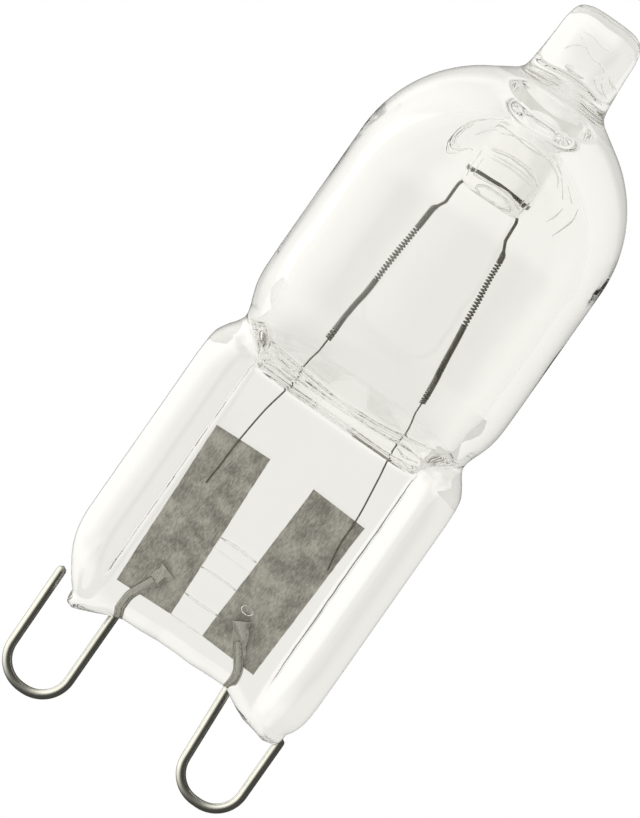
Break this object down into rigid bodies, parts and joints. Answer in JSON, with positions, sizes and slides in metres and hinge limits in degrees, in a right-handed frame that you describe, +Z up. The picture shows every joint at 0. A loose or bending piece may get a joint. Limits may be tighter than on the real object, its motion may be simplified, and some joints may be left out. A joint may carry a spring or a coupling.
{
  "type": "halogen capsule bulb",
  "caption": "Clear halogen capsule bulb: blown quartz envelope round a coiled filament, with a flat pressed seal and wire contact loops.",
  "frame": {"origin": "on the lamp's axis, level with the lower end of the contact loops", "axes": "+Z up the lamp's axis from the contact loops to the exhaust tip, +X across the broad face of the press, -Y out of its front face"},
  "size_m": [0.0146, 0.014, 0.0432],
  "materials": {
    "quartz": "clear fused quartz, fire polished",
    "tungsten": "drawn and coiled tungsten wire, dark grey",
    "molybdenum_foil": "rolled foil, matt from etching and heat",
    "molybdenum_wire": "drawn and bent wire, bright"
  },
  "bodies": {
    "root": {"quartz_envelope": "quartz", "filament": "tungsten", "inner_lead_left": "tungsten", "inner_lead_right": "tungsten", "foil_left": "molybdenum_foil", "foil_right": "molybdenum_foil", "contact_loop_left": "molybdenum_wire", "contact_loop_right": "molybdenum_wire"}
  },
  "joints": []
}
